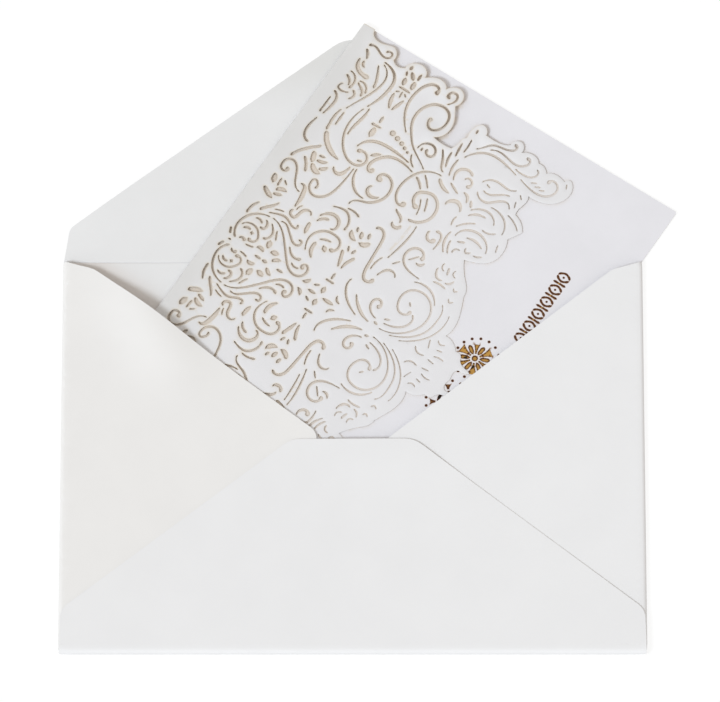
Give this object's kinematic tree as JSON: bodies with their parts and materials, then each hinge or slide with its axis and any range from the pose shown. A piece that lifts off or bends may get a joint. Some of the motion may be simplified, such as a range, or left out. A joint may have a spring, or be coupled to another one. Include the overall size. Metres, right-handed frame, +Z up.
{
  "type": "wedding invitation in an envelope",
  "caption": "Laser-cut lace card with a folded scalloped leaf, lying turned in an open pointed-flap envelope.",
  "frame": {"origin": "centre of the envelope's address panel, on its underside", "axes": "+X along the envelope's long side, +Y towards the open flap's point, +Z up, out of the envelope's flap side"},
  "size_m": [0.2013, 0.224, 0.0043],
  "materials": {
    "envelope_paper": "smooth white wove paper",
    "pearl_card": "pearl-coated white card, cut edges scorched tan",
    "gold_paper": "gold-brown metallic paper"
  },
  "bodies": {
    "root": {"envelope": "envelope_paper", "lace_card": "pearl_card", "gold_backing": "gold_paper"}
  },
  "joints": []
}
